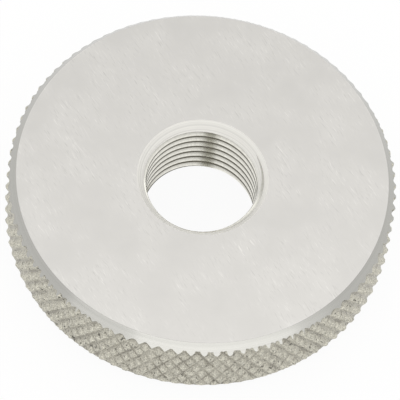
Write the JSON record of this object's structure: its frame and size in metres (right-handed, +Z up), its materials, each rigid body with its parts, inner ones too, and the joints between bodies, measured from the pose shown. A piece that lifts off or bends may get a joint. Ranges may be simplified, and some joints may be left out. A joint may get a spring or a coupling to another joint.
{
  "type": "thread ring gauge",
  "caption": "Solid round thread ring gauge with flat ground faces, a diamond-knurled rim chamfered on both edges and a chamfered, internally threaded through bore.",
  "frame": {"origin": "centre of the lower face, on the bore's axis", "axes": "+Z up along the axis of the bore and the rim; X and Y lie in the lower face"},
  "size_m": [0.038, 0.038, 0.0085],
  "materials": {
    "gauge_steel": "hardened steel with ground faces, turned chamfers and a matt knurled rim"
  },
  "bodies": {
    "root": {"ring": "gauge_steel"}
  },
  "joints": []
}
